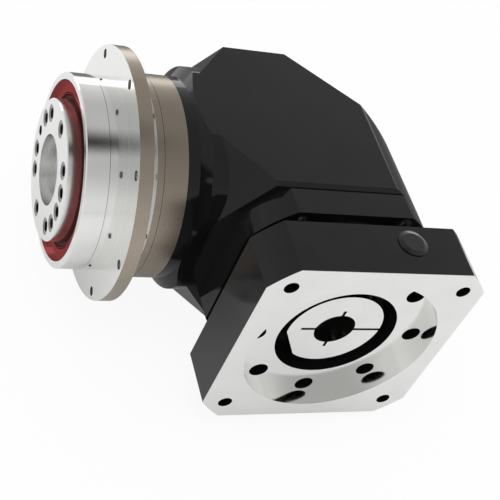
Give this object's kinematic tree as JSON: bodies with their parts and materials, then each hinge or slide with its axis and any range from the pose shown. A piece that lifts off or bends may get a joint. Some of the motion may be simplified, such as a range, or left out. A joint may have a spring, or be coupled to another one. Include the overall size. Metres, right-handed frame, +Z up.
{
  "type": "right-angle planetary gear reducer",
  "caption": "Right-angle servo reducer: bevel stage and planetary stage in a black casing, hollow flange output with red seal, square motor adapter with clamping collet.",
  "frame": {"origin": "centre of the mounting flange's front face, on the output axis", "axes": "+X out along the output axis, +Y along the input axis towards the motor, +Z up, square to both axes"},
  "size_m": [0.2111, 0.1948, 0.145],
  "materials": {
    "plated_steel": "satin",
    "bright_steel": "polished",
    "tinted_steel": "satin",
    "black_anodised": "satin",
    "adapter_aluminium": "satin",
    "red_rubber": "satin",
    "black_rubber": "matte",
    "gear_steel": "satin",
    "bearing_steel": "polished",
    "screw_steel": "satin",
    "bronze": "satin"
  },
  "bodies": {
    "housing": {"flange_housing": "plated_steel", "front_ring": "bright_steel", "output_seal": "red_rubber", "ring_gear": "tinted_steel", "case_ring": "black_anodised", "case_ring_screws": "screw_steel", "bevel_housing": "black_anodised", "sun_circlip": "gear_steel", "input_housing": "black_anodised", "input_housing_screws": "screw_steel", "input_o_ring": "black_rubber", "pinion_circlip": "gear_steel", "input_seal": "black_rubber", "adapter_plate": "adapter_aluminium", "adapter_screws": "screw_steel", "access_plug": "black_rubber", "output_front_cup": "bearing_steel", "output_rear_cup": "bearing_steel", "sun_front_cup": "bearing_steel", "sun_rear_cup": "bearing_steel", "pinion_inner_cup": "bearing_steel", "pinion_outer_cup": "bearing_steel"},
    "carrier": {"output_carrier": "bright_steel", "output_front_cone": "bearing_steel", "output_rear_cone": "bearing_steel", "bearing_spacer": "gear_steel", "bearing_nut": "gear_steel", "planet_pins": "bearing_steel", "thrust_washers": "bronze"},
    "sun": {"sun_shaft": "gear_steel", "sun_front_cone": "bearing_steel", "sun_rear_cone": "bearing_steel", "sun_spacer": "gear_steel", "bevel_wheel": "gear_steel", "wheel_key": "gear_steel", "wheel_nut": "gear_steel"},
    "input": {"pinion_shaft": "bright_steel", "pinion_inner_cone": "bearing_steel", "pinion_outer_cone": "bearing_steel", "pinion_spacer": "gear_steel", "pinion_nut": "gear_steel", "clamp_ring": "bright_steel", "clamp_screw": "screw_steel"},
    "output_rollers": {"output_front_rollers": "bearing_steel", "output_rear_rollers": "bearing_steel"},
    "sun_rollers": {"sun_front_rollers": "bearing_steel", "sun_rear_rollers": "bearing_steel"},
    "input_rollers": {"pinion_inner_rollers": "bearing_steel", "pinion_outer_rollers": "bearing_steel"},
    "planet_1": {"planet_gear_1": "gear_steel"},
    "needles_1": {"planet_needles_1": "bearing_steel"},
    "planet_2": {"planet_gear_2": "gear_steel"},
    "needles_2": {"planet_needles_2": "bearing_steel"},
    "planet_3": {"planet_gear_3": "gear_steel"},
    "needles_3": {"planet_needles_3": "bearing_steel"}
  },
  "joints": [
    {"name": "output_spin", "type": "hinge", "parent": "housing", "child": "carrier", "pos_m": [0, 0, 0], "axis": [1, 0, 0], "continuous": true},
    {"name": "planet_1_spin", "type": "hinge", "parent": "carrier", "child": "planet_1", "pos_m": [-0.02555, 0, 0.0315], "axis": [1, 0, 0], "continuous": true},
    {"name": "needles_1_roll", "type": "hinge", "parent": "carrier", "child": "needles_1", "pos_m": [-0.02555, 0, 0.0315], "axis": [1, 0, 0], "continuous": true},
    {"name": "planet_2_spin", "type": "hinge", "parent": "carrier", "child": "planet_2", "pos_m": [-0.02555, -0.02728, -0.01575], "axis": [1, 0, 0], "continuous": true},
    {"name": "needles_2_roll", "type": "hinge", "parent": "carrier", "child": "needles_2", "pos_m": [-0.02555, -0.02728, -0.01575], "axis": [1, 0, 0], "continuous": true},
    {"name": "planet_3_spin", "type": "hinge", "parent": "carrier", "child": "planet_3", "pos_m": [-0.02555, 0.02728, -0.01575], "axis": [1, 0, 0], "continuous": true},
    {"name": "needles_3_roll", "type": "hinge", "parent": "carrier", "child": "needles_3", "pos_m": [-0.02555, 0.02728, -0.01575], "axis": [1, 0, 0], "continuous": true},
    {"name": "sun_spin", "type": "hinge", "parent": "housing", "child": "sun", "pos_m": [-0.07, 0, 0], "axis": [1, 0, 0], "continuous": true},
    {"name": "input_spin", "type": "hinge", "parent": "housing", "child": "input", "pos_m": [-0.1171, 0, 0], "axis": [0, 1, 0], "continuous": true},
    {"name": "output_rollers_roll", "type": "hinge", "parent": "housing", "child": "output_rollers", "pos_m": [0, 0, 0], "axis": [1, 0, 0], "continuous": true},
    {"name": "sun_rollers_roll", "type": "hinge", "parent": "housing", "child": "sun_rollers", "pos_m": [-0.07, 0, 0], "axis": [1, 0, 0], "continuous": true},
    {"name": "input_rollers_roll", "type": "hinge", "parent": "housing", "child": "input_rollers", "pos_m": [-0.1171, 0.058, 0], "axis": [0, 1, 0], "continuous": true}
  ],
  "couplings": [
    {"joint": "planet_1_spin", "follows": "output_spin", "ratio": -3},
    {"joint": "needles_1_roll", "follows": "output_spin", "ratio": -1.875},
    {"joint": "planet_2_spin", "follows": "output_spin", "ratio": -3},
    {"joint": "needles_2_roll", "follows": "output_spin", "ratio": -1.875},
    {"joint": "planet_3_spin", "follows": "output_spin", "ratio": -3},
    {"joint": "needles_3_roll", "follows": "output_spin", "ratio": -1.875},
    {"joint": "sun_spin", "follows": "output_spin", "ratio": 4},
    {"joint": "input_spin", "follows": "output_spin", "ratio": -4},
    {"joint": "output_rollers_roll", "follows": "output_spin", "ratio": 0.47391},
    {"joint": "sun_rollers_roll", "follows": "output_spin", "ratio": 1.7237},
    {"joint": "input_rollers_roll", "follows": "output_spin", "ratio": -1.7652}
  ]
}
